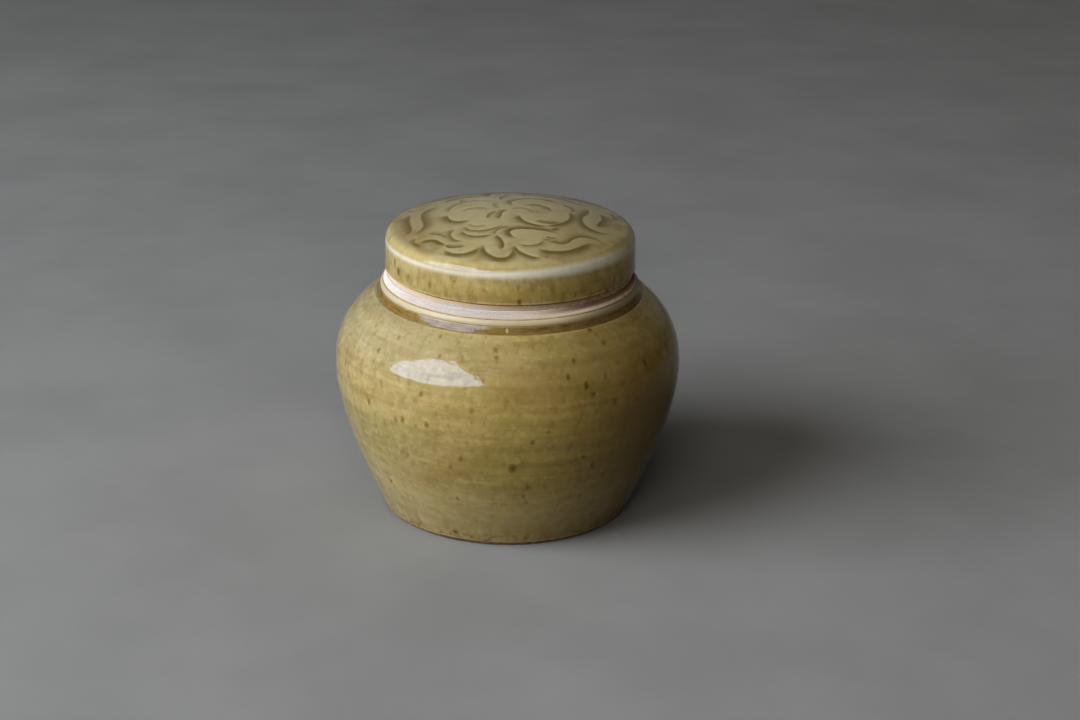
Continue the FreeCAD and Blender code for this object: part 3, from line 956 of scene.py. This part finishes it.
def speckled(look, specks, place_of):
    """Adds the named specks, each a torn dark core in an amber halo."""
    place = look.ragged(0.9, 0.7)
    for turn, height, half_width, tall, strength in specks:
        spot = look.spot(place, place_of(turn, height), half_width, tall)
        look.lay(AMBER, look.spread(spot, 0, 0.4, 0, 0.7 * strength))
        look.lay(BROWN, look.spread(spot, 0.25, 0.95, 0, 0.6 * strength))


def stained(look, stains, place_of):
    """Adds broad stains with a cloudy edge."""
    place = look.ragged(6.0, 5.0)
    for turn, height, half_width, tall, strength in stains:
        spot = look.spot(place, place_of(turn, height), half_width, tall)
        look.lay(AMBER, spot, strength)


def glaze_normal(look):
    """Orange peel of the melted coat, over slow unevenness."""
    slow = look.bumped(look.noise(5.0, 1), 0.018)
    return look.bumped(look.noise(1.1, 1, 0.5), 0.028, slow)


def gloss(look, low, high):
    return look.spread(look.noise(2.0), 0.3, 0.7, low, high)


def wall_colours(look, wander):
    """Coat of the jar below its collar."""
    x, z = look.x, look.z
    glaze_ground(look)
    stained(look, JAR_STAINS, on_jar)
    # Shoulder: tinted cooler as painted cool skylight on its upward faces, with brown smears across it, and
    # painted shade on the jar's right
    smears = look.noise(2.2, 3, 0.6, look.stretched(0.14, 0.14, 1))
    smeared = look.spread(smears, 0.48, 0.70, 0, 0.4)
    look.lay(AMBER, look.spread(z, 38, 50), smeared)
    look.tint((1.00, 1.06, 1.30), look.spread(z, 45, 58))
    # Painted shade: the jar's right side is darkened, fading out up the shoulder
    look.lay(DEEP_AND_SHADE, look.spread(x, 6, 44), look.spread(z, 38, 56, 0.8, 0))
    # Lower wall: a milky bloom. Near the foot: amber patches and dark spots, then a thin pale lip
    look.lay(BLOOM, look.spread(z, 8, 28, 1, 0), look.spread(wander, 0.3, 0.7, 0.2, 0.4))
    look.lay(AMBER, look.spread(z, 2, 12, 1, 0), look.spread(wander, 0.42, 0.62), 0.6)
    spots = look.noise(1.7, where=look.stretched(1, 1, 1.3))
    look.lay(DEEP_AND_SHADE, look.spread(z, 1.8, 4.6, 1, 0), look.spread(spots, 0.54, 0.68), 0.75)
    lip = look.spread(z, foot_bare_height + 0.35, foot_bare_height + 0.7, 0.45, 0)
    look.lay(PALE_AND_HIGHLIGHT, lip)


def jar_celadon():
    look = Look("jar_celadon")
    x = look.x
    pool = look.attribute("pool")
    wander = look.noise(3.0, 3, where=look.stretched(1, 1, 0.4))
    streaks = look.noise(0.7, 3, 0.6, look.stretched(0.2, 0.2, 1))
    wall_colours(look, wander)
    # Collar: thin on the ridge and the roll, pooled and streaked on the flank. The thin coat is painted
    # lighter at the front and darker towards the right, as painted light and shade
    thin = look.spread(pool, -1, -0.05, 1, 0)
    thin_coat_lit_and_shaded = look.toned(THIN_AND_GLINT, look.spread(x, -5, 14, 1, 1.3), look.spread(x, 12, 32, 1, 0.6))
    look.lay(thin_coat_lit_and_shaded, thin, 0.78)
    dark = look.laid(FLANK_LEFT, FLANK_RIGHT, look.spread(x, -10, 34))
    dark = look.laid(dark, BROWN, look.spread(streaks, 0.42, 0.68, 0, 0.45))
    look.lay(dark, look.spread(pool, 0.02, 0.6), look.spread(wander, 0.3, 0.6, 0.85, 1))
    edge = look.band(look.z, collar_height - 0.32, collar_height - 0.14, 0.06)
    look.lay(EDGE, edge, look.spread(wander, 0.3, 0.6, 0.5, 0.9))
    speckled(look, JAR_SPECKS, on_jar)
    # A drip that ran down the flank, painted pale: it also stands for a painted glint across the flank
    drip_and_glint = look.spot(look.place, on_jar(-91.0, crease[1] + 1.1), 0.28, 3.6)
    look.lay(THIN_AND_GLINT, look.spread(drip_and_glint, 0.2, 0.7, 0, 0.7))
    rough_flank = look.times(look.noise(0.55), look.spread(pool, 0.1, 0.5))
    normal = look.bumped(rough_flank, 0.022, glaze_normal(look))
    dull = look.math("ADD", gloss(look, 0.035, 0.075), look.times(thin, 0.35))
    return look.finish(dull, normal, glaze_ior)


def crown_colours(look):
    """Crown of the lid: greyer than its skirt, stained, with glaze pooled in the scroll, thin pale edges
    along the cuts that are also painted highlights, darker at its left and with painted shade on its right.
    """
    x, z = look.x, look.z
    pool = look.attribute("pool")
    patches = look.noise(7.0)
    top = look.spread(z, 81.5, 83)
    look.lay(GREY_OLIVE, top, 0.7)
    look.lay(AMBER, top, look.spread(patches, 0.48, 0.72, 0, 0.28))
    inside_rim = look.band(z, 82.6, 84.2, 0.6)
    look.lay(AMBER, inside_rim, look.spread(patches, 0.45, 0.65, 0, 0.35))
    # Thin glaze along the cut edges, painted paler: partly real, partly a painted highlight on the raised
    # edges
    look.lay(PALE_AND_HIGHLIGHT, look.spread(pool, -0.9, -0.02, 0.30, 0))
    look.lay(GROOVE, look.spread(pool, 0, 1, 0, 0.8))
    # Darker at the crown's left, and painted shade towards its right
    look.lay(DEEP_AND_SHADE, top, look.spread(x, -32, -8, 0.4, 0))
    look.lay(DEEP_AND_SHADE, top, look.spread(x, 4, 30, 0, 0.3))


def lid_celadon():
    look = Look("lid_celadon")
    x, z = look.x, look.z
    wander = look.noise(2.5, 3, where=look.stretched(1, 1, 0.4))
    smears = look.noise(2.2, 4, 0.6, look.stretched(1, 1, 0.5))
    # Skirt: dark upright smears, most of them low down
    skirt = look.times(look.spread(z, 78, 80, 1, 0), look.spread(z, 72, 77, 1, 0.7))
    glaze_ground(look)
    look.lay(MOTTLE, skirt, look.spread(smears, 0.46, 0.68, 0.04, 0.5))
    look.lay(PALE_AND_HIGHLIGHT, look.spread(z, 75, 79), look.spread(smears, 0.38, 0.58, 0.5, 0.2))
    crown_colours(look)
    # Edge of the crown: the coat has run off it and is thin and pale; the pale band is also a painted
    # highlight, weaker towards the shaded right
    upper = look.math("ADD", z, look.spread(x, -18, 6, 1.1, 0))
    upper = look.math("SUBTRACT", upper, look.spread(x, 0, 26, 0, 0.7))
    rim = look.times(look.spread(z, 78.2, 80.2), look.spread(upper, 80.5, 82, 1, 0))
    # Painted fade into shade: the band weakens towards the right
    left = look.spread(x, 24, 36, 1, 0.6)
    look.lay(RIM_PALE_AND_SHEEN, rim, left, look.spread(wander, 0.3, 0.6, 0.8, 0.95))
    # Lower edge of the coat: a faint pale strip, then a thin reddish line
    strip = look.band(z, lid_glaze_height + 0.55, lid_glaze_height + 1.1, 0.2)
    look.lay(THIN_AND_GLINT, strip, look.spread(wander, 0.35, 0.6, 0.05, 0.35))
    edge = look.spread(z, lid_glaze_height + 0.42, lid_glaze_height + 0.6, 1, 0)
    look.lay(RUST, edge, look.spread(wander, 0.35, 0.55, 0.75, 1))
    speckled(look, SKIRT_SPECKS, on_skirt)
    return look.finish(gloss(look, 0.045, 0.09), glaze_normal(look), glaze_ior)


def inside_celadon():
    look = Look("inside_celadon")
    glaze_ground(look)
    look.lay(GREY_OLIVE, 0.3)
    edge = look.band(look.z, neck_coat_end - 0.6, neck_coat_end + 0.3, 0.3)
    look.lay(RUST, edge, 0.8)
    return look.finish(gloss(look, 0.10, 0.18), glaze_normal(look), glaze_ior)


def clay_ground(look):
    """Pale bare stoneware with turning lines and iron specks. Gives its normal and roughness."""
    grain = look.noise(0.45, 3)
    lines = look.noise(0.28, where=look.stretched(0.06, 0.06, 1))
    look.colour = look.laid(CLAY, CLAY_PINK, look.spread(look.noise(4.0, 3), 0.35, 0.65))
    # Painted light: the clay is lighter and warmer towards the front and right, standing in for bounce
    # light there
    look.lay(CLAY_PAINTED_LIGHT, look.spread(look.x, -10, 24))
    tones = look.spread(grain, 0.3, 0.7, 0.93, 1.06), look.spread(lines, 0.3, 0.7, 0.94, 1.05)
    look.colour = look.toned(look.colour, *tones)
    look.lay(FLUSH_AND_SHADE, look.specks(look.place, 1.1, 0.22, 0.35), 0.5)
    normal = look.bumped(grain, 0.02, look.bumped(lines, 0.03))
    return normal, look.spread(grain, 0.3, 0.7, 0.62, 0.85)


def jar_stoneware():
    """Bare clay of the jar: toasted foot with painted contact shade, brown flush on the right, and a
    painted shadow of the lid close under it.
    """
    look = Look("jar_stoneware")
    x, z = look.x, look.z
    normal, rough = clay_ground(look)
    patchy = look.noise(1.6, 4, 0.65, look.stretched(1, 1, 2))
    right = look.times(look.spread(x, 20, 36), look.spread(z, 60, 66))
    look.lay(FLUSH_AND_SHADE, right, look.spread(patchy, 0.3, 0.6, 0.4, 0.8))
    # Painted shadow of the lid's edge on the upper band, on the right
    painted_lid_shadow = look.spread(z, seat_height - 1.5, seat_height - 0.5)
    look.lay(SHADE, look.spread(x, 2, 24), painted_lid_shadow, 0.85)
    # Toasted clay at the foot, darkened further as painted contact shade
    foot = look.spread(z, 1, 3, 1, 0)
    look.lay(TOASTED_AND_SHADED, foot, look.spread(patchy, 0.3, 0.6, 0.8, 1))
    return look.finish(rough, normal, clay_ior, 1.0)


def lid_stoneware():
    """Bare clay of the lid, flushed with iron on its bevel from the front round to the right, where painted
    shade darkens it further.
    """
    look = Look("lid_stoneware")
    x, z = look.x, look.z
    normal, rough = clay_ground(look)
    patchy = look.noise(1.1, 4, 0.65, look.stretched(1, 1, 2))
    low = look.spread(z, lid_glaze_height + 1.0, lid_glaze_height + 2.0, 1, 0)
    upper = look.spread(z, seat_height + 0.45, seat_height + 1.1)
    look.lay(TAN_FLASH, low, upper, look.spread(patchy, 0.3, 0.6, 0.5, 0.85))
    flush_and_shade = look.times(low, look.spread(x, -14, 14), look.spread(patchy, 0.3, 0.6, 0.45, 0.95))
    # Painted shade: the flush deepens towards the right
    look.lay(FLUSH_AND_SHADE, flush_and_shade, look.spread(x, 10, 26, 0.5, 0.9))
    return look.finish(rough, normal, clay_ior, 1.0)


# Stage: floor, light and camera
floor_reach = 4000.0
floor_ior = 1.15
FLOOR_DARK = (0.250, 0.253, 0.250)
FLOOR_LIGHT = (0.272, 0.275, 0.272)
window_distance = 1500.0
# Corners of the window as the belly mirrors it: turn from +X and height, in degrees
WINDOW = [
    (-176, 13), (-173, 29), (-158, 44), (-137, 49), (-104, 26), (-115, 19), (-134, 12), (-157, 9),
    (-169, 10),
]
window_light = 4.4
window_colour = (0.74, 0.98, 1.55)
# Soft lights that the glaze doesn't mirror: turn from +X, height, half width, strength, colour
DAYLIGHT = (0.98, 1.00, 1.05)
LAMPLIGHT = (1.06, 1.00, 0.92)
SOFT_LIGHTS = {
    "left_light": (-155.0, 30.0, 24.0, 6.4, DAYLIGHT),
    "low_light": (-160.0, 8.0, 14.0, 4.9, DAYLIGHT),
    "front_light": (-98.0, 25.0, 16.0, 2.4, LAMPLIGHT),
    "overhead_light": (-95.0, 62.0, 22.0, 1.0, LAMPLIGHT),
    "right_light": (50.0, 30.0, 26.0, 0.3, LAMPLIGHT),
}
soft_corners = 24
# Dim wall behind, which only the glaze mirrors: half its width, its height and where it fades from
wall_half = 1900.0
wall_height = 1500.0
wall_fade_side = 700.0
wall_fade_height = 500.0
wall_light = 0.16
room_light = 0.01
lit_from = (-20.0, -42.0, 55.0)  # the place on the belly that the window is set out from
camera_back = 557.2
camera_height = 258.6
camera_down = 21.24
camera_turn = -0.971
camera_roll = 0.913
image_width = 1080
focal_length = 2049.0  # in the photograph's pixels
sensor_width = 36.0


def staged(name, corners, material):
    """A flat object of the stage, which isn't part of the jar."""
    mesh = bpy.data.meshes.new(name)
    mesh.from_pydata([tuple(np.array(corner) * MM) for corner in corners], [], [range(len(corners))])
    mesh.materials.append(material)
    piece = bpy.data.objects.new(name, mesh)
    bpy.context.scene.collection.objects.link(piece)
    return piece


def floor():
    look = Look("floor_paper")
    look.colour = look.laid(FLOOR_DARK, FLOOR_LIGHT, look.spread(look.noise(60.0, 3), 0.3, 0.7))
    material = look.finish(1.0, look.bumped(look.noise(0.8), 0.02), floor_ior)
    corners = [(-floor_reach, -floor_reach, 0), (floor_reach, -floor_reach, 0)]
    corners += [(floor_reach, floor_reach, 0), (-floor_reach, floor_reach, 0)]
    staged("floor", corners, material)


def glow(name, colour, strength):
    look = Look(name)
    return look.output(look.add("ShaderNodeEmission", {"Color": rgba(colour), "Strength": strength}))


def ray(turn, rise):
    a, b = math.radians(turn), math.radians(rise)
    return np.array([math.cos(b) * math.cos(a), math.cos(b) * math.sin(a), math.sin(b)])


def mirrored(name, directions, about, light, colour):
    """Flat light that only the glaze mirrors, with its corners in these directions from a place."""
    rays = [ray(turn, rise) for turn, rise in directions]
    middle = sum(rays) / np.linalg.norm(sum(rays))
    corners = [np.array(about) + way * window_distance / (way @ middle) for way in rays]
    piece = staged(name, corners, glow(name, colour, light))
    piece.visible_camera = piece.visible_diffuse = False


def wall():
    look = Look("wall_light")
    sideways = look.spread(look.math("ABSOLUTE", look.x), wall_fade_side, wall_half, 1, 0)
    upwards = look.spread(look.z, wall_fade_height, wall_height, 1, 0)
    light = look.add("ShaderNodeEmission", {"Strength": look.times(sideways, upwards, wall_light)})
    low = [(-wall_half, window_distance, 0), (wall_half, window_distance, 0)]
    high = [(wall_half, window_distance, wall_height), (-wall_half, window_distance, wall_height)]
    piece = staged("wall", low + high, look.output(light))
    piece.visible_camera = piece.visible_diffuse = False


def soft_light(name, turn, rise, half_width, strength, colour):
    """Round soft light that the glaze doesn't mirror."""
    middle = ray(turn, rise)
    across = ray(turn - 90.0, 0.0)
    up = np.cross(across, middle)
    reach = window_distance * math.tan(math.radians(half_width))
    turns = np.arange(soft_corners) * math.tau / soft_corners
    centre = middle * window_distance
    corners = [centre + (across * math.cos(turn) + up * math.sin(turn)) * reach for turn in turns]
    piece = staged(name, corners, glow(name, colour, strength))
    piece.visible_camera = piece.visible_glossy = False


def room():
    """Weak even light of the room."""
    world = bpy.data.worlds.new("room")
    world.use_nodes = True
    background = world.node_tree.nodes["Background"]
    background.inputs["Color"].default_value = (0.97, 0.98, 1.0, 1.0)
    background.inputs["Strength"].default_value = room_light
    bpy.context.scene.world = world
    bpy.context.scene.view_settings.view_transform = "Standard"
    bpy.context.scene.view_settings.look = "High Contrast"


def camera():
    turns = (camera_turn, "Z"), (90 - camera_down, "X"), (camera_roll, "Z")
    turn, tip, roll = (Matrix.Rotation(math.radians(angle), 4, axis) for angle, axis in turns)
    place = Matrix.Translation(Vector((0, -camera_back, camera_height)) * MM)
    data = bpy.data.cameras.new("camera")
    data.sensor_width = sensor_width
    data.lens = focal_length * sensor_width / image_width
    data.clip_start, data.clip_end = 0.01, 50.0
    piece = bpy.data.objects.new("camera", data)
    bpy.context.scene.collection.objects.link(piece)
    piece.matrix_world = place @ turn @ tip @ roll
    bpy.context.scene.camera = piece


def dressed(piece, node, body, material):
    """Puts a piece in the place of its CAD node."""
    piece.data.materials.append(material)
    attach(piece, body)
    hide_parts(node)


inside = inside_celadon()
dressed(jar_clay(), "jar_body", "jar", jar_stoneware())
dressed(jar_glaze(), "jar_outer_glaze", "jar", jar_celadon())
dressed(jar_inside_glaze(), "jar_inner_glaze", "jar", inside)
dressed(lid_clay(), "lid_body", "lid", lid_stoneware())
dressed(lid_glaze(), "lid_outer_glaze", "lid", lid_celadon())
dressed(lid_inside_glaze(), "lid_inner_glaze", "lid", inside)
floor()
mirrored("window", WINDOW, lit_from, window_light, window_colour)
wall()
for name, values in SOFT_LIGHTS.items():
    soft_light(name, *values)
room()
camera()
